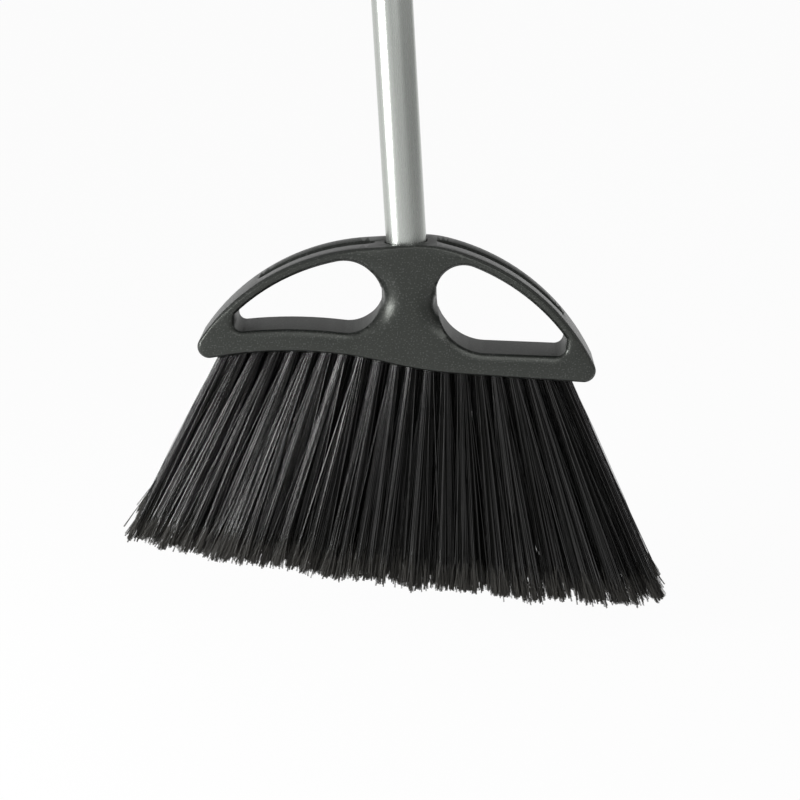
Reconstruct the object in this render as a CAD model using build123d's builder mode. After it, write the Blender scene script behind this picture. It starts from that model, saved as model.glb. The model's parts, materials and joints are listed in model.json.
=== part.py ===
"""Angle broom: a one-piece moulded head on a metal tube handle, with three rows of tufts.

Millimetres, +Z up. Z is the handle's axis, and the origin is where that axis meets the flat
mouth of the head's socket. The head leans to one side of the handle, so its outlines are drawn
on the head's own upright plane: u runs along the head, w runs up it, and y is its depth.
"""
from build123d import *
from math import acos, cos, degrees, pi, radians, sin, sqrt, tan
import os

# Handle tube
TUBE_D = 22.2
TUBE_WALL = 0.9
TUBE_LENGTH = 1220.0
TUBE_IN_SOCKET = 20.0

# Threaded tip in the tube's lower end
TIP_PLUG_LENGTH = 32.0
TIP_COLLAR = 2.5
STUD_D = 18.6
STUD_LENGTH = 24.0

# Hang-up cap in the tube's upper end
CAP_PLUG_LENGTH = 20.0
CAP_FLANGE = 8.0
CAP_HEIGHT = 36.0
EYE_R = 9.5
EYE_THICKNESS = 11.0
EYE_EDGE = 1.2
HANG_HOLE_D = 9.0

# Head moulding: the left arch runs on from the socket's mouth, the right one meets it at an angle
HEAD_LEAN = 7.0
HEAD_DEPTH = 34.0
HEAD_DROP = 69.5
LEFT_ARCH_R = 119.6
LEFT_ARCH_START = 21.5
RIGHT_ARCH_R = 123.5
RIGHT_ARCH_U = 0.7
RIGHT_CROWN = 2.1
ARCH_BAND = 5.5
MOUTH_BLEND_R = 60.0
END_R = 6.4
OUTER_EDGE = 1.5

# Underside wave: the left half is arched up, the right half is level
CREST_U = -45.0
CREST_RISE = 7.0
LEVEL_U = 35.0

# Windows beside the neck: a lower fillet takes at most its share of the neck's straight side
BEAM = 12.2
NECK_WIDTH = 30.0
LEFT_TOE_WALL = 23.5
RIGHT_TOE_WALL = 21.4
RIGHT_FLOOR_TILT = 1.6
LEFT_NECK_TOP_R = 20.0
LEFT_NECK_LOW_R = 19.0
RIGHT_NECK_TOP_R = 15.0
RIGHT_NECK_LOW_R = 28.0
LEFT_NECK_SHARE = 0.77
RIGHT_NECK_SHARE = 0.9
LEFT_TOE_R = 4.2
RIGHT_TOE_R = 5.0
TOE_TOP_R = 2.0
WINDOW_EDGE = 2.2
WINDOW_EDGE_SOFT = 0.9

# Rounding of the neck: an off-centre flare that fades out along the windows, drawn in chords
WAIST_DROP = 31.0
FLARE_R = 23.0
FLARE_ROUND = 12.5
FLARE_CHORDS = 5
FLARE_LIFT = 0.03

# Pockets in the top of the arch, with their starts and sweeps in degrees of arch
POCKET_WIDTH = 17.0
POCKET_DEPTH = 4.0
POCKET_END_R = 7.5
LEFT_POCKET_START = 4.8
LEFT_POCKET_SWEEP = 33.0
RIGHT_POCKET_START = 7.4
RIGHT_POCKET_SWEEP = 38.7

# Socket
SOCKET_CHAMFER = 1.1
SOCKET_FLOOR_GAP = 1.5

# Tufts: the fan's angles, in degrees, are those of its middle and what its ends add to it
TUFT_COLUMNS = 21
TUFT_ROWS = 3
FIRST_TUFT_INSET = 19.0
LAST_TUFT_INSET = 20.8
ROW_PITCH = 9.5
TUFT_R = 2.7
TUFT_SIDES = 6
TUFT_STUB = 1.6
HOLE_DEPTH = 8.0
FAN_MIDDLE = -5.43
FAN_SPREAD = 25.7
FAN_BIAS = 7.29
ROW_SPLAY = 5.0

# Strands, and the inclined, slightly bowed line they are trimmed to
RING_STRANDS = 4
RING_R = 1.55
STRAND_R = 0.62
STRAND_SIDES = 3
STRAND_LEAN = 1.0
STRAND_EMBED = 1.0
TRIM_DROP = 194.9
TRIM_SLOPE = -0.065
TRIM_BOW = 3.5

# Clearances
SOCKET_CLEARANCE = 0.3
THREAD_CLEARANCE = 0.3
SEAT_GAP = 0.25
PRESS_CLEARANCE = 0.03
SWIVEL_CLEARANCE = 0.08
TUFT_CLEARANCE = 0.1
CUT_OVERRUN = 30.0

# Handle heights
TUBE_R = TUBE_D / 2
BORE_R = TUBE_R - TUBE_WALL
TUBE_BOTTOM = -TUBE_IN_SOCKET
TUBE_TOP = TUBE_BOTTOM + TUBE_LENGTH
STUD_TOP = TUBE_BOTTOM - TIP_COLLAR
CAP_BASE = TUBE_TOP + SEAT_GAP
CAP_TOP = CAP_BASE + CAP_HEIGHT
EYE_Z = CAP_TOP - EYE_R
SOCKET_R = TUBE_R + SOCKET_CLEARANCE
THREAD_R = STUD_D / 2 + THREAD_CLEARANCE
SOCKET_STEP_Z = STUD_TOP - SEAT_GAP
SOCKET_FLOOR_Z = STUD_TOP - STUD_LENGTH - SOCKET_FLOOR_GAP

# Head plane, arch centres and underside wave
lean = radians(HEAD_LEAN)
head_plane = Plane(origin=(0, 0, 0), x_dir=(cos(lean), 0, -sin(lean)), z_dir=(0, -1, 0))
HALF_DEPTH = HEAD_DEPTH / 2
LEFT_CENTRE = (
    LEFT_ARCH_R * sin(lean) - LEFT_ARCH_START * cos(lean),
    -LEFT_ARCH_R * cos(lean) - LEFT_ARCH_START * sin(lean),
)
RIGHT_CENTRE = (RIGHT_ARCH_U, RIGHT_CROWN - RIGHT_ARCH_R)
RIGHT_TO_MOUTH = RIGHT_CENTRE[0] * sin(lean) - RIGHT_CENTRE[1] * cos(lean)
RIGHT_ARCH_START = 90 + HEAD_LEAN - degrees(acos(RIGHT_TO_MOUTH / RIGHT_ARCH_R))
LEVEL_W = -HEAD_DROP
CREST_W = LEVEL_W + CREST_RISE
WAVE_HALF = (LEVEL_U - CREST_U) / 2
WAVE_R = (WAVE_HALF**2 + (CREST_RISE / 2) ** 2) / CREST_RISE
WAVE_MID_U = CREST_U + WAVE_HALF
WAVE_START_U = LEFT_CENTRE[0] - LEFT_ARCH_R - CUT_OVERRUN
FAR = LEFT_ARCH_R + RIGHT_ARCH_R
FLARE_TOP = HALF_DEPTH + FLARE_LIFT

# Feet of the two arches on the level of the underside, and what is measured from them
LEFT_FOOT_U = LEFT_CENTRE[0] - sqrt(LEFT_ARCH_R**2 - (LEVEL_W - LEFT_CENTRE[1]) ** 2)
RIGHT_FOOT_U = RIGHT_CENTRE[0] + sqrt(RIGHT_ARCH_R**2 - (LEVEL_W - RIGHT_CENTRE[1]) ** 2)
LEFT_WINDOW_U = LEFT_FOOT_U + LEFT_TOE_WALL
RIGHT_WINDOW_U = RIGHT_FOOT_U - RIGHT_TOE_WALL
TUFT_FIRST_U = LEFT_FOOT_U + FIRST_TUFT_INSET
TUFT_LAST_U = RIGHT_FOOT_U - LAST_TUFT_INSET
TUFT_PITCH = (TUFT_LAST_U - TUFT_FIRST_U) / (TUFT_COLUMNS - 1)
TUFT_MIDDLE_U = (TUFT_FIRST_U + TUFT_LAST_U) / 2
TUFT_HALF_SPAN = (TUFT_LAST_U - TUFT_FIRST_U) / 2
TRIM_CURVE = TRIM_BOW / TUFT_HALF_SPAN**2
ROW_REACH = ROW_PITCH * (TUFT_ROWS - 1) / 2


def underside(u):
    """Height of the head's underside: crest arc, reversed arc, then level."""
    if u < WAVE_MID_U:
        return CREST_W - WAVE_R + sqrt(WAVE_R**2 - (u - CREST_U) ** 2)
    if u < LEVEL_U:
        return LEVEL_W + WAVE_R - sqrt(WAVE_R**2 - (LEVEL_U - u) ** 2)
    return LEVEL_W


def tuft_plane(u, y):
    """Plane at a tuft hole's mouth, with its normal along the tuft, away from the head."""
    share = (u - TUFT_MIDDLE_U) / TUFT_HALF_SPAN
    fan = radians(FAN_MIDDLE + FAN_SPREAD * share + FAN_BIAS * share**2)
    splay = radians(ROW_SPLAY * y / ROW_REACH)
    mouth = head_plane.from_local_coords(Vector(u, underside(u), -y))
    along = head_plane.x_dir * tan(fan) - head_plane.y_dir + Vector(0, tan(splay), 0)
    along = along.normalized()
    across = head_plane.x_dir - along * head_plane.x_dir.dot(along)
    return Plane(origin=mouth, x_dir=across, z_dir=along)


def column_planes(column):
    """Hole planes of one column: every second row stands half a pitch further along."""
    planes = []
    for row in range(TUFT_ROWS):
        staggered = row % 2
        if staggered and column == TUFT_COLUMNS - 1:
            continue
        u = TUFT_FIRST_U + TUFT_PITCH * (column + staggered / 2)
        planes.append(tuft_plane(u, ROW_PITCH * row - ROW_REACH))
    return planes


def strand_planes(plane):
    """Root planes of a tuft's strands: one in the middle and a ring that leans outwards."""
    root = plane.offset(TUFT_STUB - STRAND_EMBED)
    planes = [root]
    for index in range(RING_STRANDS):
        turn = 2 * pi * (index + 0.5) / RING_STRANDS
        outward = root.x_dir * cos(turn) + root.y_dir * sin(turn)
        along = root.z_dir + outward * tan(radians(STRAND_LEAN))
        planes.append(Plane(origin=root.origin + outward * RING_R, z_dir=along))
    return planes


def trim_length(plane):
    """Distance from a strand's root plane, along the strand, to the trim line."""
    at = head_plane.to_local_coords(plane.origin)
    step = head_plane.to_local_coords(plane.origin + plane.z_dir) - at
    bend = TRIM_CURVE * step.X**2
    rate = (TRIM_SLOPE + 2 * TRIM_CURVE * at.X) * step.X - step.Y
    drop = TRIM_DROP - TRIM_SLOPE * at.X - TRIM_CURVE * at.X**2 + at.Y
    return 2 * drop / (rate + sqrt(rate**2 + 4 * bend * drop))


def corner(sketch_vertices, u, w):
    """The vertex of an outline that lies nearest to a place on it."""
    return sketch_vertices.sort_by_distance((u, w))[0]


def neck_edge(side):
    """Frame on the neck's edge, turned to the handle's axis: side is -1 left, 1 right."""
    across = side * NECK_WIDTH / 2
    return Location((across * cos(lean), across * sin(lean)), HEAD_LEAN)


def neck_side(side):
    """Straight length along the neck in the window being drawn: side is -1 left, 1 right."""
    straights = edges().filter_by(GeomType.LINE).sort_by(Axis.X)
    return straights[-1].length if side < 0 else straights[0].length


def arch_pocket(side, centre, arch_r, start, sweep):
    """Cutter for a long round-ended pocket in the arch's top: side is -1 left, 1 right."""
    first = 90 - side * start
    with BuildPart() as pocket:
        with BuildSketch(head_plane):
            with BuildLine():
                floor = CenterArc(centre, arch_r - POCKET_DEPTH, first, -side * sweep)
                sky = CenterArc(centre, arch_r + POCKET_DEPTH, first, -side * sweep)
                Line(floor @ 0, sky @ 0)
                Line(floor @ 1, sky @ 1)
            make_face()
        extrude(amount=POCKET_WIDTH / 2, both=True)
        ends = edges().filter_by(GeomType.LINE).filter_by(Axis.Y, reverse=True)
        fillet(ends, radius=POCKET_END_R)
    return pocket.part


def window_rims():
    """Edges where the windows of the part being built meet its two flat sides."""
    sides = faces().filter_by(Axis.Y)
    return [edge for face in sides for wire in face.inner_wires() for edge in wire.edges()]


def flare_axis(side):
    """Axis through the head's depth that the neck's rounding is turned about."""
    edge = WAIST_DROP * tan(lean) + side * NECK_WIDTH / 2 / cos(lean)
    centre = edge + side * (FLARE_R - FLARE_ROUND)
    return Axis(head_plane.from_local_coords(Vector(centre, -WAIST_DROP, 0)), (0, 1, 0))


tuft_columns = [column_planes(column) for column in range(TUFT_COLUMNS)]
all_tufts = [plane for planes in tuft_columns for plane in planes]

# Outline of the head: two arches joined by the socket's mouth, cut off by the underside wave
with BuildSketch(head_plane) as head_outline:
    with BuildLine():
        left_arch = CenterArc(LEFT_CENTRE, LEFT_ARCH_R, 180, HEAD_LEAN - 90)
        right_arch = CenterArc(RIGHT_CENTRE, RIGHT_ARCH_R, RIGHT_ARCH_START, -RIGHT_ARCH_START)
        Line(left_arch @ 1, right_arch @ 0)
        Line(left_arch @ 0, right_arch @ 1)
    make_face()
    with BuildLine():
        crest = ThreePointArc(
            (WAVE_START_U, underside(WAVE_START_U)),
            (CREST_U, CREST_W),
            (WAVE_MID_U, underside(WAVE_MID_U)),
        )
        trough = TangentArc(crest @ 1, (LEVEL_U, LEVEL_W), tangent=crest % 1)
        level = Line(trough @ 1, (FAR, LEVEL_W))
        Polyline(level @ 1, (FAR, -FAR), (WAVE_START_U, -FAR), crest @ 0)
    make_face(mode=Mode.SUBTRACT)
    fillet(vertices().sort_by(Axis.Y)[-1], radius=MOUTH_BLEND_R)
    fillet(vertices().sort_by(Axis.X)[0], radius=END_R)
    fillet(vertices().sort_by(Axis.X)[-1], radius=END_R)

# Window on the left of the neck: its floor follows the underside's crest
with BuildSketch(head_plane) as left_window:
    with Locations(LEFT_CENTRE):
        Circle(LEFT_ARCH_R - ARCH_BAND)
    with Locations((CREST_U, CREST_W - WAVE_R)):
        Circle(WAVE_R + BEAM, mode=Mode.SUBTRACT)
    with Locations(neck_edge(-1)):
        Rectangle(FAR, 2 * FAR, align=(Align.MIN, Align.CENTER), mode=Mode.SUBTRACT)
    with Locations((LEFT_WINDOW_U, 0)):
        Rectangle(FAR, 2 * FAR, align=(Align.MAX, Align.CENTER), mode=Mode.SUBTRACT)
    fillet(corner(vertices(), 0, 0), radius=LEFT_NECK_TOP_R)
    low_r = min(LEFT_NECK_LOW_R, LEFT_NECK_SHARE * neck_side(-1))
    fillet(corner(vertices(), 0, LEVEL_W), radius=low_r)
    fillet(corner(vertices(), LEFT_WINDOW_U, LEVEL_W), radius=LEFT_TOE_R)
    fillet(corner(vertices(), LEFT_WINDOW_U, 0), radius=TOE_TOP_R)

# Window on the right of the neck: its floor rises a little to the right
with BuildSketch(head_plane) as right_window:
    with Locations(RIGHT_CENTRE):
        Circle(RIGHT_ARCH_R - ARCH_BAND)
    with Locations(Location((LEVEL_U, LEVEL_W + BEAM), RIGHT_FLOOR_TILT)):
        Rectangle(2 * FAR, FAR, align=(Align.CENTER, Align.MAX), mode=Mode.SUBTRACT)
    with Locations(neck_edge(1)):
        Rectangle(FAR, 2 * FAR, align=(Align.MAX, Align.CENTER), mode=Mode.SUBTRACT)
    with Locations((RIGHT_WINDOW_U, 0)):
        Rectangle(FAR, 2 * FAR, align=(Align.MIN, Align.CENTER), mode=Mode.SUBTRACT)
    fillet(corner(vertices(), 0, 0), radius=RIGHT_NECK_TOP_R)
    low_r = min(RIGHT_NECK_LOW_R, RIGHT_NECK_SHARE * neck_side(1))
    fillet(corner(vertices(), 0, LEVEL_W), radius=low_r)
    fillet(corner(vertices(), RIGHT_WINDOW_U, LEVEL_W), radius=RIGHT_TOE_R)
    fillet(corner(vertices(), RIGHT_WINDOW_U, 0), radius=TOE_TOP_R)

left_pocket = arch_pocket(-1, LEFT_CENTRE, LEFT_ARCH_R, LEFT_POCKET_START, LEFT_POCKET_SWEEP)
right_pocket = arch_pocket(1, RIGHT_CENTRE, RIGHT_ARCH_R, RIGHT_POCKET_START, RIGHT_POCKET_SWEEP)

# Head: the outline through the depth, softened edges, flares, pockets, socket and tuft holes
with BuildPart() as broom_head:
    with BuildSketch(head_plane):
        add(head_outline.sketch_local)
        add(left_window.sketch_local, mode=Mode.SUBTRACT)
        add(right_window.sketch_local, mode=Mode.SUBTRACT)
    extrude(amount=HALF_DEPTH, both=True)
    rims = [edge for face in faces().filter_by(Axis.Y) for edge in face.outer_wire().edges()]
    chamfer(rims, length=OUTER_EDGE)
    chamfer(window_rims(), length=WINDOW_EDGE)
    chamfer(window_rims(), length=WINDOW_EDGE_SOFT)
    for side in (-1, 1):
        axis = flare_axis(side)
        turns = [radians(90 + 90 * chord / FLARE_CHORDS) for chord in range(FLARE_CHORDS + 1)]
        middle = FLARE_TOP - FLARE_ROUND
        chords = [(FLARE_R + FLARE_ROUND * cos(t), middle + FLARE_ROUND * sin(t)) for t in turns]
        with BuildSketch(Plane(origin=axis.position, x_dir=head_plane.x_dir, z_dir=head_plane.y_dir)):
            with BuildLine():
                rounding = Polyline(*chords)
                Polyline(
                    rounding @ 1,
                    (0, middle),
                    (0, HEAD_DEPTH),
                    (FLARE_R, HEAD_DEPTH),
                    rounding @ 0,
                )
            make_face()
            mirror(about=Plane.XZ)
        revolve(axis=axis, mode=Mode.SUBTRACT)
    add(left_pocket, mode=Mode.SUBTRACT)
    add(right_pocket, mode=Mode.SUBTRACT)
    with BuildSketch(Plane.XZ):
        with BuildLine():
            Polyline(
                (0, SOCKET_CHAMFER),
                (SOCKET_R + 2 * SOCKET_CHAMFER, SOCKET_CHAMFER),
                (SOCKET_R, -SOCKET_CHAMFER),
                (SOCKET_R, SOCKET_STEP_Z),
                (THREAD_R, SOCKET_STEP_Z),
                (THREAD_R, SOCKET_FLOOR_Z),
                (0, SOCKET_FLOOR_Z),
                close=True,
            )
        make_face()
    revolve(axis=Axis.Z, mode=Mode.SUBTRACT)
    with BuildSketch(*[plane.offset(TUFT_R) for plane in all_tufts]):
        RegularPolygon(TUFT_R, TUFT_SIDES)
    extrude(amount=-TUFT_R - HOLE_DEPTH, mode=Mode.SUBTRACT)
broom_head.part.label = "broom_head"

# Tufts: each has a stub that fills its hole, and its strands are fused to the stub
tufts = []
for column, planes in enumerate(tuft_columns):
    with BuildPart() as tuft_column:
        with BuildSketch(*[plane.offset(TUFT_CLEARANCE - HOLE_DEPTH) for plane in planes]):
            RegularPolygon(TUFT_R - TUFT_CLEARANCE, TUFT_SIDES)
        extrude(amount=HOLE_DEPTH - TUFT_CLEARANCE + TUFT_STUB)
        strands = []
        for root in [root for plane in planes for root in strand_planes(plane)]:
            with BuildSketch(root):
                RegularPolygon(STRAND_R, STRAND_SIDES)
            strands.append(extrude(amount=trim_length(root), mode=Mode.PRIVATE))
        add(strands)
    tuft_column.part.label = f"tuft_column_{column + 1:02d}"
    tufts.append(tuft_column.part)

# Handle tube
with BuildPart() as handle_tube:
    with BuildSketch(Plane.XY.offset(TUBE_BOTTOM)):
        Circle(TUBE_R)
        Circle(BORE_R, mode=Mode.SUBTRACT)
    extrude(amount=TUBE_LENGTH)
handle_tube.part.label = "handle_tube"

# Threaded tip: a plug pressed into the tube, a collar under the tube's end and a stud
with BuildPart() as threaded_tip:
    with BuildSketch(Plane.XY.offset(TUBE_BOTTOM)):
        Circle(BORE_R - PRESS_CLEARANCE)
    extrude(amount=TIP_PLUG_LENGTH)
    with BuildSketch(Plane.XY.offset(TUBE_BOTTOM)):
        Circle(TUBE_R)
    extrude(amount=-TIP_COLLAR)
    with BuildSketch(Plane.XY.offset(STUD_TOP)):
        Circle(STUD_D / 2)
    extrude(amount=-STUD_LENGTH)
threaded_tip.part.label = "threaded_tip"

# Hang-up cap: it turns on its plug in the tube, and its flat eye has the hanging hole
with BuildPart() as hang_cap:
    with BuildSketch(Plane.XY.offset(CAP_BASE)):
        Circle(BORE_R - SWIVEL_CLEARANCE)
    extrude(amount=-CAP_PLUG_LENGTH)
    with BuildSketch(Plane.XY.offset(CAP_BASE)):
        Circle(TUBE_R)
    extrude(amount=CAP_FLANGE)
    with BuildSketch(Plane.XZ):
        with Locations((0, EYE_Z)):
            Circle(EYE_R)
        with Locations((0, CAP_BASE)):
            Rectangle(2 * EYE_R, EYE_Z - CAP_BASE, align=(Align.CENTER, Align.MIN))
        with Locations((0, EYE_Z)):
            Circle(HANG_HOLE_D / 2, mode=Mode.SUBTRACT)
    extrude(amount=EYE_THICKNESS / 2, both=True)
    eye_sides = faces().filter_by(Axis.Y)
    eye_rims = [edge for face in eye_sides for edge in face.outer_wire().edges().filter_by(GeomType.CIRCLE)]
    chamfer(eye_rims, length=EYE_EDGE)
hang_cap.part.label = "hang_cap"

os.makedirs("parts", exist_ok=True)
export_step(broom_head.part, "parts/broom_head.step")
export_step(handle_tube.part, "parts/handle_tube.step")
export_step(threaded_tip.part, "parts/threaded_tip.step")
export_step(hang_cap.part, "parts/hang_cap.step")
for tuft in tufts:
    export_step(tuft, f"parts/{tuft.label}.step")
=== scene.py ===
# %% [markdown]
# # Dressing an angle broom
# The solids of the broom come in as a fixed frame, in metres, with Z along the handle. Everything below
# dresses them: the moulded head, the satin handle and about twelve thousand bristles. The pieces are made
# in the order in which a maker would look at them, and each step says why it is made that way.

# %% The frame
import json
from math import cos, pi, radians, sin, sqrt
from random import Random

import bmesh
import bpy
import numpy as np
from mathutils import Matrix, Vector
from mathutils.bvhtree import BVHTree

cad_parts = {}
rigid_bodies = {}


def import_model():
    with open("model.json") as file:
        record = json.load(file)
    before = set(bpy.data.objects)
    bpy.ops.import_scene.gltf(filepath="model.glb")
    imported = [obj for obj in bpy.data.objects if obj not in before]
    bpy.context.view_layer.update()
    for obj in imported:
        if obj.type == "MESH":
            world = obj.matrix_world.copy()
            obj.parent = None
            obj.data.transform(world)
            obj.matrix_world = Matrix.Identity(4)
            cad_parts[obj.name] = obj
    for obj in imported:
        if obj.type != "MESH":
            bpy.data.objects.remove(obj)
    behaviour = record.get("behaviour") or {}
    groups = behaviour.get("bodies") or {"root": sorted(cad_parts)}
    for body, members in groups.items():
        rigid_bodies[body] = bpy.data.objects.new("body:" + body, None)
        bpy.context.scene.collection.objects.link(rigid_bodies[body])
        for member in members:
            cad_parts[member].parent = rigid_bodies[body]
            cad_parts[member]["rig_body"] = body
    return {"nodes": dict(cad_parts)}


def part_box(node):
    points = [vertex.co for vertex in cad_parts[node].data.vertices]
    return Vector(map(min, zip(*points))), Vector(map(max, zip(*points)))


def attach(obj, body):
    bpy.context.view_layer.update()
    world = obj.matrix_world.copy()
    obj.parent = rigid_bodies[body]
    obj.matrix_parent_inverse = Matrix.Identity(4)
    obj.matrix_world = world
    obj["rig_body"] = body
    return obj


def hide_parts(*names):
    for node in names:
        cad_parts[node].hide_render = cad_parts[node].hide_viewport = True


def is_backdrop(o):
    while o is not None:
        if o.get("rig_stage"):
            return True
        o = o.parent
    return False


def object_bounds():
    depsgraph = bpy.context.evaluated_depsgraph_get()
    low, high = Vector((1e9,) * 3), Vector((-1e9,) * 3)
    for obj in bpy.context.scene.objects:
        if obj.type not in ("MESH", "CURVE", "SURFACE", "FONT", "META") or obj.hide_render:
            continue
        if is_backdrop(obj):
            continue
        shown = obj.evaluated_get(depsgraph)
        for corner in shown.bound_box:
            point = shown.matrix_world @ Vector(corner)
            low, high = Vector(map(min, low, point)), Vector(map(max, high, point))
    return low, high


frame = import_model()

cad_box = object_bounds()
MM = 0.001

# %% [markdown]
# ## The camera
# A product photograph is taken from some way off with a long lens, so that the object hardly tapers. The
# camera stands a little to the right of the broom and looks down on it, and it is rolled slightly, which
# makes the handle lean. A camera's matrix can be written straight down from its right, up and back
# directions, which is more exact than aiming it with a constraint.

# %% Camera
IMAGE_WIDTH = 800
FOCAL_PIXELS = 1961.9
SENSOR_WIDTH = 36.0
CAMERA_TURN = radians(2.217)
CAMERA_RISE = radians(16.118)
CAMERA_ROLL = radians(-3.499)
CAMERA_DISTANCE = 1.1
CAMERA_TARGET = Vector((-8.73, 0.0, -90.81)) * MM


def make_camera():
    level_back = Vector((sin(CAMERA_TURN), -cos(CAMERA_TURN), 0.0))
    back = cos(CAMERA_RISE) * level_back + Vector((0.0, 0.0, sin(CAMERA_RISE)))
    level = Vector((cos(CAMERA_TURN), sin(CAMERA_TURN), 0.0))
    upright = back.cross(level)
    right = cos(CAMERA_ROLL) * level + sin(CAMERA_ROLL) * upright
    up = cos(CAMERA_ROLL) * upright - sin(CAMERA_ROLL) * level
    lens = bpy.data.cameras.new("product_camera")
    lens.sensor_width = SENSOR_WIDTH
    lens.lens = FOCAL_PIXELS * SENSOR_WIDTH / IMAGE_WIDTH
    camera = bpy.data.objects.new("product_camera", lens)
    stand = Matrix((right, up, back)).transposed().to_4x4()
    stand.translation = CAMERA_TARGET + back * CAMERA_DISTANCE
    camera.matrix_world = stand
    bpy.context.scene.collection.objects.link(camera)
    bpy.context.scene.camera = camera
    return camera


camera = make_camera()
print("camera at", [round(x, 3) for x in camera.matrix_world.translation])
print("lens", round(camera.data.lens, 1))

# %% [markdown]
# ## The studio
# The broom hangs just above a sheet of white paper in a dim room that is dimmer higher up. Towards the
# right front the paper is painted grey, a painted shade that the handle mirrors as its darker side.
# The paper runs far back, so it fills the picture. Its white is given to the rays that the camera, mirrors
# and glass send out, while the light that falls on the object stays at a plain level. A soft lamp stands on
# the left, low beside the broom: it draws the highlights down the handle and the bristles, which mirror
# what is beside them and not what is above. A larger lamp in front, above the camera, is spread thin, and it
# is what the bevelled rims of the windows mirror.

# %% Studio
WHITE = (1.0, 1.0, 1.0, 1.0)
ROOM_LEVEL = 0.4
HIGH_SHARE = 0.5
DIMMING_BAND = (-0.02, 0.2)
PAPER_DROP = 25 * MM
TABLE_SIZE = 16.0
PAPER_WHITE = (0.9, 0.9, 0.9)
# Painted shade: the paper turns grey towards the right front, so that shiny parts mirror a darker right
# side.
PAINTED_SHADE_GREY = (0.26, 0.26, 0.26)
PAINTED_SHADE_SIDE = Vector((0.88, -0.48, 0.0))
PAINTED_SHADE_START = 0.28
PAINTED_SHADE_END = 1.35
PAPER_GLOW = 0.96
HEAD_CENTRE = (0.0, 0.0, -0.04)
BRISTLE_CENTRE = (0.0, 0.0, -0.12)
# Each soft lamp has a name, a place, an aim, a width and a height in metres, and a power in watts.
SOFTBOXES = (
    ("key_softbox", (-0.76, -0.37, 0.085), BRISTLE_CENTRE, 0.48, 0.21, 7.9),
    ("front_softbox", (0.4, -1.35, 0.72), HEAD_CENTRE, 1.0, 0.8, 8.0),
)
# A Mix node has sockets for every type of data, so those for colours are found by number.
MIX_FIRST, MIX_SECOND, MIX_RESULT = 6, 7, 2


def add_node(tree, kind, **settings):
    node = tree.nodes.new(kind)
    for name, value in settings.items():
        setattr(node, name, value)
    return node


def remap(tree, value, low, high, from_low=0.0, from_high=1.0, kind="LINEAR"):
    node = add_node(tree, "ShaderNodeMapRange", interpolation_type=kind)
    node.inputs["From Min"].default_value = from_low
    node.inputs["From Max"].default_value = from_high
    node.inputs["To Min"].default_value = low
    node.inputs["To Max"].default_value = high
    tree.links.new(value, node.inputs["Value"])
    return node.outputs[0]


def combine(tree, operation, first, second):
    node = add_node(tree, "ShaderNodeMath", operation=operation)
    tree.links.new(first, node.inputs[0])
    tree.links.new(second, node.inputs[1])
    return node.outputs[0]


def mix_colours(tree, factor, first, second):
    mix = add_node(tree, "ShaderNodeMix", data_type="RGBA")
    for number, colour in ((MIX_FIRST, first), (MIX_SECOND, second)):
        socket = mix.inputs[number]
        if isinstance(colour, tuple):
            socket.default_value = (*colour, 1.0)
        else:
            tree.links.new(colour, socket)
    tree.links.new(factor, mix.inputs["Factor"])
    return mix.outputs[MIX_RESULT]


def seen_rays(tree, path):
    """1 for the rays of the camera, of mirrors and of glass, and 0 for the light that falls on things."""
    glossy = combine(tree, "MAXIMUM", path.outputs["Is Glossy Ray"], path.outputs["Is Transmission Ray"])
    return combine(tree, "MAXIMUM", path.outputs["Is Camera Ray"], glossy)


def make_world():
    world = bpy.data.worlds.new("dim_room")
    world.use_nodes = True
    tree = world.node_tree
    tree.nodes.clear()
    path = add_node(tree, "ShaderNodeLightPath")
    direction = add_node(tree, "ShaderNodeTexCoord")
    height = add_node(tree, "ShaderNodeSeparateXYZ")
    tree.links.new(direction.outputs["Generated"], height.inputs[0])
    fall = remap(tree, height.outputs["Z"], 1.0, HIGH_SHARE, *DIMMING_BAND, "SMOOTHSTEP")
    level = remap(tree, seen_rays(tree, path), ROOM_LEVEL, 1.0)
    lit = combine(tree, "MULTIPLY", fall, level)
    background = add_node(tree, "ShaderNodeBackground")
    background.inputs["Color"].default_value = WHITE
    seen = combine(tree, "MAXIMUM", lit, path.outputs["Is Camera Ray"])
    tree.links.new(seen, background.inputs["Strength"])
    output = add_node(tree, "ShaderNodeOutputWorld")
    tree.links.new(background.outputs[0], output.inputs["Surface"])
    bpy.context.scene.world = world


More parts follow.
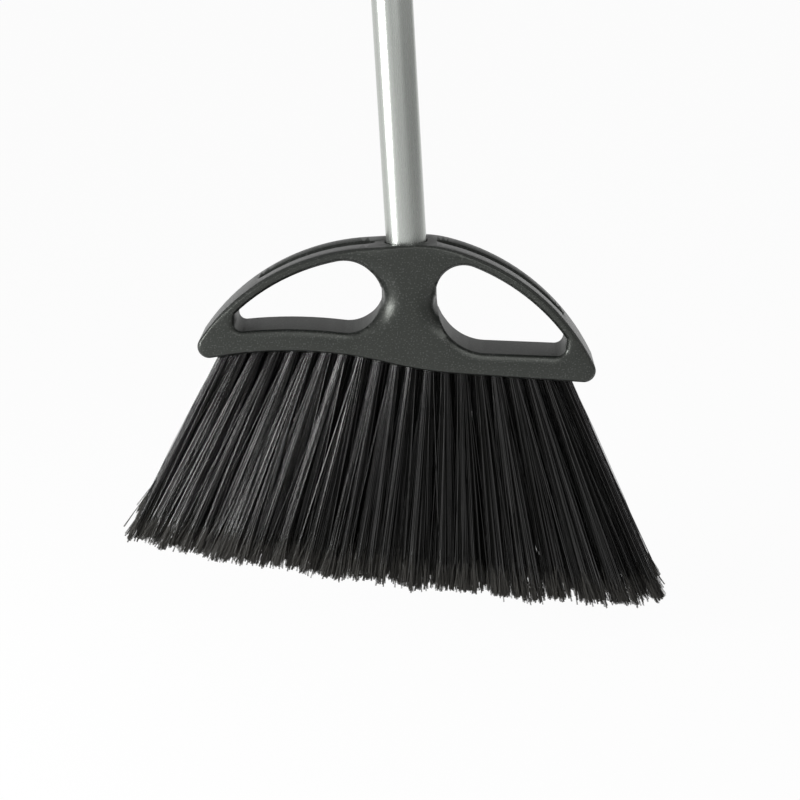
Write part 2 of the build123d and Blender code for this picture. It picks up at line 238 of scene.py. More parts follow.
def make_table():
    sheet = bmesh.new()
    bmesh.ops.create_grid(sheet, x_segments=1, y_segments=1, size=TABLE_SIZE / 2)
    bmesh.ops.translate(sheet, verts=sheet.verts, vec=(0.0, 0.0, cad_box[0][2] - PAPER_DROP))
    mesh = bpy.data.meshes.new("paper_with_painted_shade")
    sheet.to_mesh(mesh)
    sheet.free()
    table = bpy.data.objects.new("paper_with_painted_shade", mesh)
    bpy.context.scene.collection.objects.link(table)
    material = bpy.data.materials.new("paper_with_painted_shade")
    material.use_nodes = True
    tree = material.node_tree
    tree.nodes.clear()
    path = add_node(tree, "ShaderNodeLightPath")
    place = add_node(tree, "ShaderNodeTexCoord")
    side = add_node(tree, "ShaderNodeVectorMath", operation="DOT_PRODUCT")
    side.inputs[1].default_value = PAINTED_SHADE_SIDE
    tree.links.new(place.outputs["Object"], side.inputs[0])
    # Mask of the painted shade on the paper's right front; it darkens both the matte colour and the glow.
    painted_shade = remap(tree, side.outputs["Value"], 0.0, 1.0, PAINTED_SHADE_START, PAINTED_SHADE_END, "SMOOTHSTEP")
    matte = add_node(tree, "ShaderNodeBsdfDiffuse")
    tree.links.new(mix_colours(tree, painted_shade, PAPER_WHITE, PAINTED_SHADE_GREY), matte.inputs["Color"])
    glow = add_node(tree, "ShaderNodeEmission")
    tree.links.new(mix_colours(tree, painted_shade, WHITE[:3], PAINTED_SHADE_GREY), glow.inputs["Color"])
    blend = add_node(tree, "ShaderNodeMixShader")
    tree.links.new(remap(tree, seen_rays(tree, path), 0.0, PAPER_GLOW), blend.inputs["Fac"])
    tree.links.new(matte.outputs[0], blend.inputs[1])
    tree.links.new(glow.outputs[0], blend.inputs[2])
    output = add_node(tree, "ShaderNodeOutputMaterial")
    tree.links.new(blend.outputs[0], output.inputs["Surface"])
    mesh.materials.append(material)
    table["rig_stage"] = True


def add_softbox(name, place, aim, width, height, watts):
    lamp = bpy.data.lights.new(name, "AREA")
    lamp.shape = "RECTANGLE"
    lamp.size = width
    lamp.size_y = height
    lamp.energy = watts
    softbox = bpy.data.objects.new(name, lamp)
    softbox.location = place
    softbox.rotation_euler = (Vector(aim) - Vector(place)).to_track_quat("-Z", "Y").to_euler()
    bpy.context.scene.collection.objects.link(softbox)


make_world()
make_table()
for softbox in SOFTBOXES:
    add_softbox(*softbox)
bpy.context.scene.view_settings.view_transform = "Standard"
print("studio: paper at", round(cad_box[0][2] - PAPER_DROP, 4))

# %% [markdown]
# ## Finishes
# A moulded part takes the texture of its mould. Spark-eroded moulds leave fine round grains, so the
# plastic looks matte, with tiny glints where a grain catches the light. Those glints are painted: lighter
# specks in the colour are a painted highlight. The head, the cap and the screw tip all have it, so it is
# one node group with its own grain size in each material. It gives a height for the bump, a mask of
# painted glints and a slow change of tone.

# %% Spark texture group
FINE_GRAIN = 2.6
FINE_HEIGHT = 0.6
# Painted glints: lighter specks in the colour where a grain would catch the light.
GLINT_GRAIN = 1.3
GLINT_RANGE = (0.60, 0.76)
TONE_GRAIN = 0.035


def make_spark_group():
    group = bpy.data.node_groups.new("spark_texture", "ShaderNodeTree")
    sockets = group.interface
    sockets.new_socket("Vector", in_out="INPUT", socket_type="NodeSocketVector")
    sockets.new_socket("Grain Scale", in_out="INPUT", socket_type="NodeSocketFloat")
    for name in ("Height", "Painted Glints", "Tone"):
        sockets.new_socket(name, in_out="OUTPUT", socket_type="NodeSocketFloat")
    inside = add_node(group, "NodeGroupInput")
    outside = add_node(group, "NodeGroupOutput")

    def grain(share, detail):
        scale = add_node(group, "ShaderNodeMath", operation="MULTIPLY")
        scale.inputs[1].default_value = share
        group.links.new(inside.outputs["Grain Scale"], scale.inputs[0])
        noise = add_node(group, "ShaderNodeTexNoise")
        noise.inputs["Detail"].default_value = detail
        group.links.new(inside.outputs["Vector"], noise.inputs["Vector"])
        group.links.new(scale.outputs[0], noise.inputs["Scale"])
        return noise.outputs["Fac"]

    height = add_node(group, "ShaderNodeMath", operation="MULTIPLY_ADD")
    height.inputs[1].default_value = FINE_HEIGHT
    group.links.new(grain(FINE_GRAIN, detail=1.0), height.inputs[0])
    group.links.new(grain(1.0, detail=2.0), height.inputs[2])
    group.links.new(height.outputs[0], outside.inputs["Height"])
    painted_glints = remap(group, grain(GLINT_GRAIN, detail=0.0), 0.0, 1.0, *GLINT_RANGE)
    group.links.new(painted_glints, outside.inputs["Painted Glints"])
    group.links.new(grain(TONE_GRAIN, detail=3.0), outside.inputs["Tone"])
    return group


spark_texture = make_spark_group()
print("node group:", spark_texture.name)

# %% [markdown]
# ## Charcoal plastic
# The head is charcoal grey polypropylene. Its colour is nearly neutral with a trace of green, the painted
# glints of its grain are a little lighter, and the tone drifts slowly. Walls that look at one another inside
# the part stay duller, because they slide along the mould when it opens, and so does the top near the
# socket, where the handle rubs. Two numbers on the faces say which those are. The cap and the tip have the
# same plastic in black with a finer grain, so one function makes both.

# %% Moulded plastics
NOISE_MIDDLE = (0.3, 0.7)
GRAIN_HEIGHTS = (0.5, 1.1)
RELIEF_SHARE = 0.25
ENCLOSED_ROUGHNESS = 0.47
WEAR_REACH = (15 * MM, 34 * MM)
PLASTIC_TINT = (0.96, 1.0, 0.93, 1.0)
LEVEL_ONLY = (1.0, 1.0, 0.0)


def new_material(name):
    material = bpy.data.materials.new(name)
    material.use_nodes = True
    tree = material.node_tree
    shader = tree.nodes["Principled BSDF"]
    place = add_node(tree, "ShaderNodeTexCoord")
    return material, tree, shader, place


def moulded_plastic(name, dark, light, glint_colour, grain_size, bump, roughness):
    material, tree, shader, place = new_material(name)
    shader.inputs["Specular Tint"].default_value = PLASTIC_TINT
    spark = add_node(tree, "ShaderNodeGroup", node_tree=spark_texture)
    spark.inputs["Grain Scale"].default_value = 1.0 / grain_size
    tree.links.new(place.outputs["Object"], spark.inputs["Vector"])
    tone = remap(tree, spark.outputs["Tone"], 0.0, 1.0, *NOISE_MIDDLE)
    body = mix_colours(tree, tone, dark, light)
    # The lighter specks mixed into the colour are painted glints of the grain.
    tree.links.new(mix_colours(tree, spark.outputs["Painted Glints"], body, glint_colour), shader.inputs["Base Color"])
    level = add_node(tree, "ShaderNodeVectorMath", operation="MULTIPLY")
    level.inputs[1].default_value = LEVEL_ONLY
    tree.links.new(place.outputs["Object"], level.inputs[0])
    from_axis = add_node(tree, "ShaderNodeVectorMath", operation="LENGTH")
    tree.links.new(level.outputs[0], from_axis.inputs[0])
    rubbed = remap(tree, from_axis.outputs["Value"], 1.0, 0.0, *WEAR_REACH)
    upward = add_node(tree, "ShaderNodeAttribute", attribute_name="upward")
    worn = combine(tree, "MULTIPLY", rubbed, upward.outputs["Fac"])
    enclosed = add_node(tree, "ShaderNodeAttribute", attribute_name="enclosed")
    dull = combine(tree, "MAXIMUM", worn, enclosed.outputs["Fac"])
    matte = remap(tree, dull, 0.0, ENCLOSED_ROUGHNESS)
    grained = remap(tree, spark.outputs["Height"], *roughness, *GRAIN_HEIGHTS)
    tree.links.new(combine(tree, "MAXIMUM", grained, matte), shader.inputs["Roughness"])
    relief = add_node(tree, "ShaderNodeBump")
    relief.inputs["Strength"].default_value = bump
    relief.inputs["Distance"].default_value = grain_size * RELIEF_SHARE
    tree.links.new(spark.outputs["Height"], relief.inputs["Height"])
    tree.links.new(relief.outputs[0], shader.inputs["Normal"])
    return material


charcoal_plastic = moulded_plastic(
    "charcoal_plastic", dark=(0.0115, 0.013, 0.0115), light=(0.0155, 0.017, 0.0155),
    glint_colour=(0.05, 0.052, 0.05), grain_size=1.1 * MM, bump=0.3, roughness=(0.3, 0.4))
black_plastic = moulded_plastic(
    "black_plastic", dark=(0.018, 0.018, 0.018), light=(0.024, 0.024, 0.024),
    glint_colour=(0.04, 0.04, 0.04), grain_size=0.7 * MM, bump=0.25, roughness=(0.4, 0.52))
print("plastics:", charcoal_plastic.name, black_plastic.name)

# %% [markdown]
# ## Satin tube
# The handle is a drawn tube with a satin silver finish. Drawing leaves lines along the tube that are much
# longer than they are wide, so the noise is stretched along Z before it touches the roughness and, only a
# little, the colour. Polishing goes round the tube, which stretches reflections along it, so that a lamp
# shows as a long narrow band.

# %% Satin metal
DRAW_LINE_WIDTH = 0.5 * MM
DRAW_LINE_LENGTH = 120 * MM
DRAW_LINE_DETAIL = 3.0
METAL_DARK = (0.44, 0.46, 0.435)
METAL_LIGHT = (0.5, 0.52, 0.495)
METAL_ROUGHNESS = (0.25, 0.29)
METAL_SHARE = 0.9
POLISH = 0.45
QUARTER_TURN = 0.25


def satin_tube_metal():
    material, tree, shader, place = new_material("satin_tube_metal")
    stretch = add_node(tree, "ShaderNodeMapping")
    across = 1 / DRAW_LINE_WIDTH
    stretch.inputs["Scale"].default_value = (across, across, 1 / DRAW_LINE_LENGTH)
    tree.links.new(place.outputs["Object"], stretch.inputs["Vector"])
    lines = add_node(tree, "ShaderNodeTexNoise")
    lines.inputs["Scale"].default_value = 1.0
    lines.inputs["Detail"].default_value = DRAW_LINE_DETAIL
    tree.links.new(stretch.outputs[0], lines.inputs["Vector"])
    shader.inputs["Metallic"].default_value = METAL_SHARE
    colour = mix_colours(tree, lines.outputs["Fac"], METAL_DARK, METAL_LIGHT)
    tree.links.new(colour, shader.inputs["Base Color"])
    roughness = remap(tree, lines.outputs["Fac"], *METAL_ROUGHNESS, *NOISE_MIDDLE)
    tree.links.new(roughness, shader.inputs["Roughness"])
    around = add_node(tree, "ShaderNodeTangent", direction_type="RADIAL", axis="Z")
    tree.links.new(around.outputs[0], shader.inputs["Tangent"])
    shader.inputs["Anisotropic"].default_value = POLISH
    shader.inputs["Anisotropic Rotation"].default_value = QUARTER_TURN
    return material


tube_metal = satin_tube_metal()
print("metal:", tube_metal.name)

# %% [markdown]
# ## Black filament
# Each bristle carries two numbers on its points: how far along it the point is, and a tone of its own.
# The shafts are nearly black under a glossy coat whose weight goes with the tone, so that neighbours catch
# the light unequally, and the split ends are paler and duller than the shafts.

# %% Filament plastic
SHAFT_DARK = (0.0025, 0.0027, 0.0023)
SHAFT_LIGHT = (0.006, 0.006, 0.0055)
SPLIT_COLOUR = (0.06, 0.058, 0.053)
SPLIT_REACH = (0.97, 1.3)
FILAMENT_ROUGHNESS = (0.2, 0.5)
FILAMENT_SPECULAR = 0.12
COATED_TONES = (0.4, 1.0)
SPLIT_COAT = 0.2
COAT_ROUGHNESS = 0.2
COAT_IOR = 1.88


def filament_plastic():
    material, tree, shader, _ = new_material("filament_plastic")
    reach = add_node(tree, "ShaderNodeAttribute", attribute_name="reach")
    tone = add_node(tree, "ShaderNodeAttribute", attribute_name="tone")
    split = remap(tree, reach.outputs["Fac"], 0.0, 1.0, *SPLIT_REACH)
    shaft = mix_colours(tree, tone.outputs["Fac"], SHAFT_DARK, SHAFT_LIGHT)
    tree.links.new(mix_colours(tree, split, shaft, SPLIT_COLOUR), shader.inputs["Base Color"])
    tree.links.new(remap(tree, split, *FILAMENT_ROUGHNESS), shader.inputs["Roughness"])
    shader.inputs["Specular IOR Level"].default_value = FILAMENT_SPECULAR
    sheen = remap(tree, tone.outputs["Fac"], 0.0, 1.0, *COATED_TONES)
    smooth = remap(tree, split, 1.0, SPLIT_COAT)
    tree.links.new(combine(tree, "MULTIPLY", sheen, smooth), shader.inputs["Coat Weight"])
    shader.inputs["Coat Roughness"].default_value = COAT_ROUGHNESS
    shader.inputs["Coat IOR"].default_value = COAT_IOR
    return material


filament_material = filament_plastic()
print("filament:", filament_material.name)

# %% [markdown]
# ## Putting a piece in its place
# Every finished mesh becomes an object at the origin. It rides on the body that carries it, names the
# finish that it takes, and hides the plain solid that it stands for.

# %% Finishing a piece


def finish_piece(name, shape, material, body, node):
    """Turns a bmesh into a smooth-shaded object that stands for a node of the frame."""
    mesh = bpy.data.meshes.new(name)
    shape.to_mesh(mesh)
    shape.free()
    mesh.materials.append(material)
    mesh.shade_smooth()
    piece = bpy.data.objects.new(name, mesh)
    bpy.context.scene.collection.objects.link(piece)
    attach(piece, body)
    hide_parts(node)
    return piece


# %% [markdown]
# ## The moulded head and the cap
# The solid of the head already has the real shape, but its mesh is loose triangles, so light breaks at
# every facet. A copy is merged, shaded smooth up to a sharp angle, and given normals that follow the large
# faces. That turns each narrow chamfer and facet into a soft rounded edge without a single new face. Two
# forms of the head are set first by moving points alone: the pockets in the arch's top become narrower, and
# the slight bevel below each window becomes wider.

# %% Head and cap
MERGE_DISTANCE = 0.002 * MM
SHARP_ANGLE = radians(50)
WALL_TILT = 0.3
LARGE_FACE_LEAD = 90
SOCKET_REACH = 13.5 * MM
POCKET_HALF = 8.6 * MM
POCKET_SHARE = 0.53
WINDOW_LEVEL = -45.0 * MM
SOFT_TILT = (0.88, 0.97)
RIM_WIDTH = 1.7 * MM


def mark_enclosed(shape):
    """Gives 1 to the walls through the depth that look at another part of it, and 0 to all else."""
    layer = shape.faces.layers.float.new("enclosed")
    nearby = BVHTree.FromBMesh(shape)
    for face in shape.faces:
        start = face.calc_center_median() + face.normal * MERGE_DISTANCE
        met = nearby.ray_cast(start, face.normal)[0]
        face[layer] = 1.0 if met and abs(face.normal.y) < WALL_TILT else 0.0


def mark_upward(shape):
    """Gives 1 to the faces that look up, and 0 to all else."""
    layer = shape.faces.layers.float.new("upward")
    for face in shape.faces:
        face[layer] = 1.0 if face.normal.z > WALL_TILT else 0.0


def narrow_pockets(shape):
    """Draws in the walls of the two pockets in the arch's top, which lie beyond the socket's rim."""
    for vert in shape.verts:
        x, y, z = vert.co
        if abs(y) < POCKET_HALF and abs(x) > SOCKET_REACH and z > WINDOW_LEVEL:
            vert.co.y *= POCKET_SHARE


def widen_rims(shape):
    """Lets the slight outer bevel of the windows' lower rims run further into the flat faces."""
    face_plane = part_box("broom_head")[1].y - MERGE_DISTANCE
    towards_window = {}
    for face in shape.faces:
        if SOFT_TILT[0] < abs(face.normal.y) < SOFT_TILT[1]:
            for vert in face.verts:
                if abs(vert.co.y) > face_plane and vert.co.z < WINDOW_LEVEL:
                    level = Vector((face.normal.x, 0.0, face.normal.z))
                    towards_window[vert] = towards_window.get(vert, Vector()) + level
    for vert, direction in towards_window.items():
        direction.normalize()
        vert.co -= direction * (RIM_WIDTH * max(0.0, direction.z))
    return len(towards_window)


def shape_head(shape):
    narrow_pockets(shape)
    shape.normal_update()
    print("rim points moved:", widen_rims(shape))
    mark_upward(shape)


def rounded_copy(node, name, material, reshape=None):
    shape = bmesh.new()
    shape.from_mesh(frame["nodes"][node].data)
    bmesh.ops.remove_doubles(shape, verts=shape.verts, dist=MERGE_DISTANCE)
    if reshape:
        reshape(shape)
        shape.normal_update()
    mark_enclosed(shape)
    body = frame["nodes"][node]["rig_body"]
    piece = finish_piece(name, shape, material, body, node)
    piece.data.set_sharp_from_angle(angle=SHARP_ANGLE)
    weigh = piece.modifiers.new("large_faces_lead", "WEIGHTED_NORMAL")
    weigh.mode = "FACE_AREA"
    weigh.weight = LARGE_FACE_LEAD
    weigh.keep_sharp = True
    return piece


head = rounded_copy("broom_head", "moulded_head", charcoal_plastic, shape_head)
cap = rounded_copy("hang_cap", "hang_up_cap", black_plastic)
print("head faces:", len(head.data.polygons), "cap faces:", len(cap.data.polygons))

# %% [markdown]
# ## The handle tube
# A tube is a small wall section spun about its axis. The section is six points: the wall with its two
# outer corners broken, as a deburred end is. A full spin closes on itself with use_merge, and the normals
# are set right at the end because a spin can leave them pointing inwards.

# %% Handle tube
TUBE_WALL = 0.9 * MM
DEBURR = 0.3 * MM
TUBE_STEPS = 96
TUBE_SHARP_ANGLE = radians(40)


def close_section(shape, points):
    """Joins points (radius, height) into a closed loop in the XZ plane and returns its edges."""
    corners = [shape.verts.new((radius, 0.0, height)) for radius, height in points]
    return [shape.edges.new((corners[i - 1], corners[i])) for i in range(len(corners))]


def spin_section(shape, geometry, steps):
    bmesh.ops.spin(shape, geom=geometry, cent=(0, 0, 0), axis=(0, 0, 1), dvec=(0, 0, 0),
                   angle=2 * pi, steps=steps, use_merge=True, use_duplicate=False)
    bmesh.ops.remove_doubles(shape, verts=shape.verts, dist=MERGE_DISTANCE)
    bmesh.ops.recalc_face_normals(shape, faces=shape.faces)


def make_tube():
    low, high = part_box("handle_tube")
    outer = high.x
    inner = outer - TUBE_WALL
    shape = bmesh.new()
    section = close_section(shape, [
        (inner, low.z), (outer - DEBURR, low.z), (outer, low.z + DEBURR),
        (outer, high.z - DEBURR), (outer - DEBURR, high.z), (inner, high.z)])
    spin_section(shape, section, TUBE_STEPS)
    tube = finish_piece("satin_tube", shape, tube_metal, "handle", "handle_tube")
    tube.data.set_sharp_from_angle(angle=TUBE_SHARP_ANGLE)
    return tube


tube = make_tube()
print("tube faces:", len(tube.data.polygons))

# %% [markdown]
# ## The screw tip
# The tip plugs the tube and ends in a coarse thread with a bevelled start, which the head's socket takes.
# The core is a spun section. The thread is a four-point section that is spun and lifted at each step, so
# that its path is a helix, and its first and last stretches sink into the core, as a moulded thread's do.

# %% Screw tip
THREAD_LEAD = 5.08 * MM
THREAD_DEPTH = 1.7 * MM
THREAD_STEPS = 36
THREAD_RUN_OUT = 0.3
THREAD_START = 2.0 * MM
THREAD_SINK = 0.3 * MM
LEAST_DEPTH = 0.05
FLANK_SHARE = 0.5
CREST = (0.28, 0.72)
PLAIN_ENDS = 4.5 * MM
TIP_COLLAR = 2.5 * MM
STUD_LENGTH = 24.0 * MM
STUD_RADIUS = 9.3 * MM
PLUG_CLEARANCE = 0.03 * MM
PLUG_TAPER = 1.0 * MM
LEAD_IN = 1.5 * MM
TIP_STEPS = 48
TIP_SHARP_ANGLE = radians(35)


def add_thread(shape, core, base):
    turns = (STUD_LENGTH - PLAIN_ENDS) / THREAD_LEAD - FLANK_SHARE
    steps = int(turns * THREAD_STEPS)
    foot = core - THREAD_SINK
    flank = THREAD_LEAD * FLANK_SHARE
    ridge = bmesh.new()
    section = close_section(ridge, [
        (foot, base), (STUD_RADIUS, base + CREST[0] * flank),
        (STUD_RADIUS, base + CREST[1] * flank), (foot, base + flank)])
    bmesh.ops.contextual_create(ridge, geom=section)
    start = ridge.faces[:] + ridge.edges[:] + ridge.verts[:]
    bmesh.ops.spin(ridge, geom=start, cent=(0, 0, 0), axis=(0, 0, 1),
                   dvec=(0, 0, THREAD_LEAD / THREAD_STEPS), angle=2 * pi * steps / THREAD_STEPS,
                   steps=steps, use_merge=False, use_duplicate=False)
    for number, corner in enumerate(ridge.verts):
        travel = (number // len(section)) / steps
        run_out = min(1.0, min(travel, 1 - travel) * turns / THREAD_RUN_OUT)
        radius = sqrt(corner.co.x ** 2 + corner.co.y ** 2)
        sunk = foot + (radius - foot) * max(LEAST_DEPTH, run_out)
        corner.co.x *= sunk / radius
        corner.co.y *= sunk / radius
    bmesh.ops.recalc_face_normals(ridge, faces=ridge.faces)
    helix = bpy.data.meshes.new("thread_ridge")
    ridge.to_mesh(helix)
    ridge.free()
    shape.from_mesh(helix)
    bpy.data.meshes.remove(helix)


def make_tip():
    low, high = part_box("threaded_tip")
    collar = high.x
    plug = collar - TUBE_WALL - PLUG_CLEARANCE
    core = STUD_RADIUS - THREAD_DEPTH
    shoulder = low.z + STUD_LENGTH
    shape = bmesh.new()
    points = [(0.0, low.z), (core - LEAD_IN, low.z), (core, low.z + LEAD_IN), (core, shoulder),
              (collar - DEBURR, shoulder), (collar, shoulder + DEBURR),
              (collar, shoulder + TIP_COLLAR - DEBURR), (collar - DEBURR, shoulder + TIP_COLLAR),
              (plug, shoulder + TIP_COLLAR), (plug, high.z - LEAD_IN),
              (plug - PLUG_TAPER, high.z), (0.0, high.z)]
    corners = [shape.verts.new((radius, 0.0, height)) for radius, height in points]
    outline = [shape.edges.new(pair) for pair in zip(corners, corners[1:])]
    spin_section(shape, outline, TIP_STEPS)
    add_thread(shape, core, low.z + THREAD_START)
    tip = finish_piece("screw_tip", shape, black_plastic, "handle", "threaded_tip")
    tip.data.set_sharp_from_angle(angle=TIP_SHARP_ANGLE)
    return tip


tip = make_tip()
print("tip faces:", len(tip.data.polygons))

# %% [markdown]
# ## Where the tufts stand
# Each column node holds a few tufts, and each tuft is one separate island of its mesh. The six corners
# of its root and the tips of its strands give the tuft's axis, so the bristles follow the solids even when
# a size of the broom changes. A smooth curve through all the tips is the line that the broom is trimmed to.

# %% Tuft axes
STUB_CORNERS = 6
STRAND_TIPS = 15
TRIM_DEGREE = 3
TUFT_NODES = sorted(name for name in frame["nodes"] if name.startswith("tuft_column"))


def islands(shape):
    left = set(shape.verts)
    while left:
        found = []
        border = [left.pop()]
        while border:
            vert = border.pop()
            found.append(vert)
            near = {e.other_vert(vert) for e in vert.link_edges} & left
            left -= near
            border.extend(near)
        yield found


def tuft_axes(node):
    shape = bmesh.new()
    shape.from_mesh(frame["nodes"][node].data)
    bmesh.ops.remove_doubles(shape, verts=shape.verts, dist=MERGE_DISTANCE)
    axes = []
    for island in islands(shape):
        by_height = sorted((v.co.copy() for v in island), key=lambda point: (point.z, point.x, point.y))
        tip_centre = sum(by_height[:STRAND_TIPS], Vector()) / STRAND_TIPS
        root_centre = sum(by_height[-STUB_CORNERS:], Vector()) / STUB_CORNERS
        axes.append((root_centre, tip_centre))
    shape.free()
    return sorted(axes, key=lambda pair: pair[0].y)


axes_of = {node: tuft_axes(node) for node in TUFT_NODES}
tips = [tip_centre for axes in axes_of.values() for _, tip_centre in axes]
trim_line = np.polyfit([point.x for point in tips], [point.z for point in tips], TRIM_DEGREE)
print("tufts:", len(tips), "trimmed to", [round(float(c), 4) for c in trim_line])

# %% [markdown]
# ## One bristle
# A bristle is repeated thousands of times, so it has fewer than thirty faces: a four-sided shaft in three
# lengths, and five thin split ends. It is made once at unit size, with its root at height 0, the end of
# the shaft at 1 and the ends of the splits at 2, and each bristle of the broom is a bent copy.

# %% Bristle template
SHAFT_SIDES = 4
SHAFT_STEPS = 3
SPLITS = 5
SPLIT_SIDES = 3
SPLIT_RING = 0.5
SPLIT_RADII = (0.4, 0.14)
SPLIT_DEPTH = 1.04


def bristle_template():
    shape = bmesh.new()
    bmesh.ops.create_circle(shape, segments=SHAFT_SIDES, radius=1.0, cap_ends=False)
    ring = shape.edges[:]
    for _ in range(SHAFT_STEPS):
        grown = bmesh.ops.extrude_edge_only(shape, edges=ring)["geom"]
        ring = [item for item in grown if isinstance(item, bmesh.types.BMEdge)]
        raised = [item for item in grown if isinstance(item, bmesh.types.BMVert)]
        bmesh.ops.translate(shape, verts=raised, vec=(0, 0, 1 / SHAFT_STEPS))
    for number in range(SPLITS):
        turn = 2 * pi * number / SPLITS
        middle = (SPLIT_RING * cos(turn), SPLIT_RING * sin(turn), 2 - SPLIT_DEPTH / 2)
        bmesh.ops.create_cone(shape, cap_ends=False, segments=SPLIT_SIDES, radius1=SPLIT_RADII[0],
                              radius2=SPLIT_RADII[1], depth=SPLIT_DEPTH,
                              matrix=Matrix.Translation(middle))
    bmesh.ops.recalc_face_normals(shape, faces=shape.faces)
    mesh = bpy.data.meshes.new("bristle_template")
    shape.to_mesh(mesh)
    shape.free()
    return mesh


bristle = bristle_template()
print("faces in a bristle:", len(bristle.polygons))

# %% [markdown]
# ## Tufts
# The bristles of a tuft start packed in a round hole and spread towards the tips. A sunflower pattern
# packs the hole evenly. Each bristle belongs to the nearest of a few locks, which lean and bow on their own,
# and it keeps its place in the lock on its way down, with a little wander, a slight bow and a length of its
# own. Some stray across their neighbours and a few are left long. The outer tufts spread mostly inwards,
# which keeps the clean straight sides of the fan, apart from some loose bristles that bow out. None aims
# past a set depth, so that the broom stays about as thick as its solids. Random draws come from one seeded
# source.

# %% Tufts
BRISTLES = 190
BRISTLE_RADIUS = 0.19 * MM
RADIUS_SHARES = (0.85, 1.1)
ROOT_INSET = 3.0 * MM
ROOT_SPREAD = 2.45 * MM
TIP_SPREAD = 8.5 * MM
TIP_WANDER = 0.4 * MM
LOCKS = 9
LOCK_SPREAD = 0.5
LOCK_LEAN = 2.4 * MM
LOCK_BOW = 0.3 * MM
LOCK_WANDER = 0.6 * MM
TUFT_LEAN = 1.4 * MM
TUFT_BOW = 0.5 * MM
BOW = 0.25 * MM
TUFT_LEAN_SIDEWAYS = 0.5
LOCK_LEAN_SIDEWAYS = 0.4
BOW_SIDEWAYS = 0.3
EDGE_TRIM = 0.7 * MM
TRIM_LIFT = 1.2 * MM
LENGTH_WANDER = 2.8 * MM
TUFT_WANDER = 0.9 * MM
STRAY_SHARE = 0.14
STRAY_SPREAD = 9.0 * MM
LOOSE_SHARE = 0.04
LOOSE_BOW = 1.6 * MM
LOOSE_SHARES = (0.4, 1.0)
LONG_SHARE = 0.02
LONG_REACH = 4.0 * MM
SPLIT_LENGTHS = (5.0 * MM, 16.0 * MM)
SPLIT_SPREAD = 2.6
SPLIT_SPLAY = 0.1
OUTER_SPREAD = 0.25
DEPTH_LIMIT = 27.0 * MM
TRIM_ROUNDS = 4
LEAST_FALL = 0.3
GOLDEN_ANGLE = pi * (3 - sqrt(5))
SEED = 7
OUTWARD = {TUFT_NODES[0]: -1, TUFT_NODES[-1]: 1}
draws = Random(SEED)


def to_trim(root, aim):
    """The direction of a bristle and its length down to the trim line."""
    along = (aim - root).normalized()
    length = (aim - root).length
    for _ in range(TRIM_ROUNDS):
        end = root + along * length
        length += (end.z - float(np.polyval(trim_line, end.x))) / max(LEAST_FALL, -along.z)
    return along, length


def add_bristle(shape, layers, root, along, length, bow):
    first = len(shape.verts)
    shape.from_mesh(bristle)
    shape.verts.ensure_lookup_table()
    side = Matrix.Rotation(draws.uniform(0, 2 * pi), 3, along) @ along.orthogonal().normalized()
    other = along.cross(side)
    splay = side * draws.gauss(0, SPLIT_SPLAY) + other * draws.gauss(0, SPLIT_SPLAY)
    split = draws.uniform(*SPLIT_LENGTHS)
    radius = BRISTLE_RADIUS * draws.uniform(*RADIUS_SHARES)
    tone = draws.random()
    shaft = length - split
    for vert in shape.verts[first:]:
        x, y, reach = vert.co
        beyond = max(0.0, reach - 1.0)
        travel = shaft * min(reach, 1.0) + split * beyond
        share = travel / length
        widen = radius * (1 + SPLIT_SPREAD * beyond)
        vert.co = (root + along * travel + bow * (4 * share * (1 - share))
                   + splay * (split * beyond * beyond) + (side * x + other * y) * widen)
        vert[layers[0]] = reach
        vert[layers[1]] = tone


def sunflower(number, count):
    """Place of a point in a unit disc that is evenly packed with points."""
    ring = sqrt((number + 0.5) / count)
    return ring * cos(number * GOLDEN_ANGLE), ring * sin(number * GOLDEN_ANGLE)


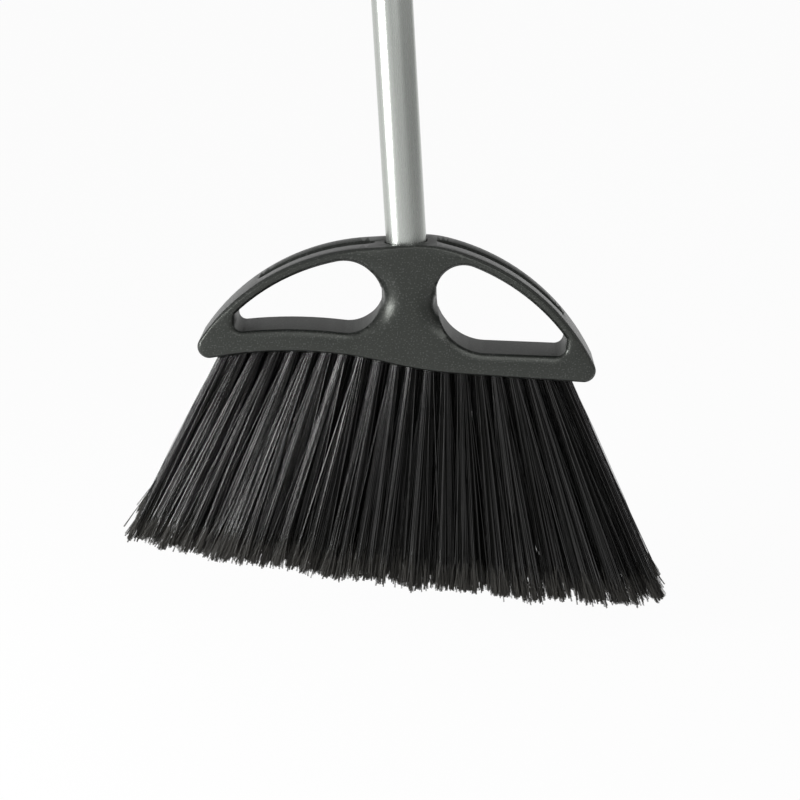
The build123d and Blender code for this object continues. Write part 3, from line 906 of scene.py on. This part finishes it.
def add_tuft(shape, layers, root_centre, tip_centre, outward):
    axis = (tip_centre - root_centre).normalized()
    across = Vector((0, 1, 0)).cross(axis).normalized()
    across = across if across.x > 0 else -across
    depth = axis.cross(across)

    def scatter(amount, sideways=1.0):
        return across * draws.gauss(0, amount * sideways) + depth * draws.gauss(0, amount)

    tuft_trim = draws.gauss(0, TUFT_WANDER) - TRIM_LIFT
    tuft_lean = scatter(TUFT_LEAN, TUFT_LEAN_SIDEWAYS)
    tuft_bow = scatter(TUFT_BOW, BOW_SIDEWAYS)
    locks = []
    for number in range(LOCKS):
        x, y = sunflower(number, LOCKS)
        lock_bow = tuft_bow + scatter(LOCK_BOW, BOW_SIDEWAYS)
        lock_lean = tuft_lean + scatter(LOCK_LEAN, LOCK_LEAN_SIDEWAYS)
        lock_trim = tuft_trim + draws.gauss(0, LOCK_WANDER)
        locks.append((across * x + depth * y, lock_lean, lock_bow, lock_trim))
    for number in range(BRISTLES):
        x, y = sunflower(number, BRISTLES)
        packed = across * x + depth * y
        centre, lock_lean, lock_bow, lock_trim = min(locks, key=lambda lock: (lock[0] - packed).length)
        root = root_centre + axis * ROOT_INSET + packed * ROOT_SPREAD
        shift = centre.lerp(packed, LOCK_SPREAD) * TIP_SPREAD + lock_lean + scatter(TIP_WANDER)
        bow = scatter(BOW) + lock_bow
        if draws.random() < STRAY_SHARE:
            shift += across * draws.uniform(-STRAY_SPREAD, STRAY_SPREAD)
        if outward:
            shift -= across * (max(0.0, outward * shift.dot(across)) * outward * (1 - OUTER_SPREAD))
            bow -= across * (bow.dot(across) * (1 - OUTER_SPREAD))
            if draws.random() < LOOSE_SHARE:
                bow += across * (outward * draws.uniform(*LOOSE_SHARES) * LOOSE_BOW)
        aim = tip_centre + shift
        aim.y = max(-DEPTH_LIMIT, min(DEPTH_LIMIT, aim.y))
        along, length = to_trim(root, aim)
        length += lock_trim - abs(draws.gauss(0, LENGTH_WANDER)) - EDGE_TRIM * packed.length_squared
        if draws.random() < LONG_SHARE:
            length += draws.uniform(0, LONG_REACH)
        add_bristle(shape, layers, root, along, length, bow)


def make_tuft_column(node, outward):
    shape = bmesh.new()
    layers = [shape.verts.layers.float.new(name) for name in ("reach", "tone")]
    for root_centre, tip_centre in axes_of[node]:
        add_tuft(shape, layers, root_centre, tip_centre, outward)
    name = node.replace("tuft_column", "bristle_column")
    return finish_piece(name, shape, filament_material, "head", node)


columns = [make_tuft_column(node, OUTWARD.get(node, 0)) for node in TUFT_NODES]
bpy.data.meshes.remove(bristle)
print("bristle faces:", sum(len(column.data.polygons) for column in columns))

# %% [markdown]
# ## Measuring
# Dressing a part should hardly change its size. The box of the solids and the box of the dressed broom
# are set side by side, and the box of the dressed broom is printed.

# %% Sizes and finish
visual_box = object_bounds()
boxes = {"cad": cad_box, "visual": visual_box}
{name: [list(corner) for corner in box] for name, box in boxes.items()}
print("visual box:", [[round(x, 4) for x in corner] for corner in visual_box])
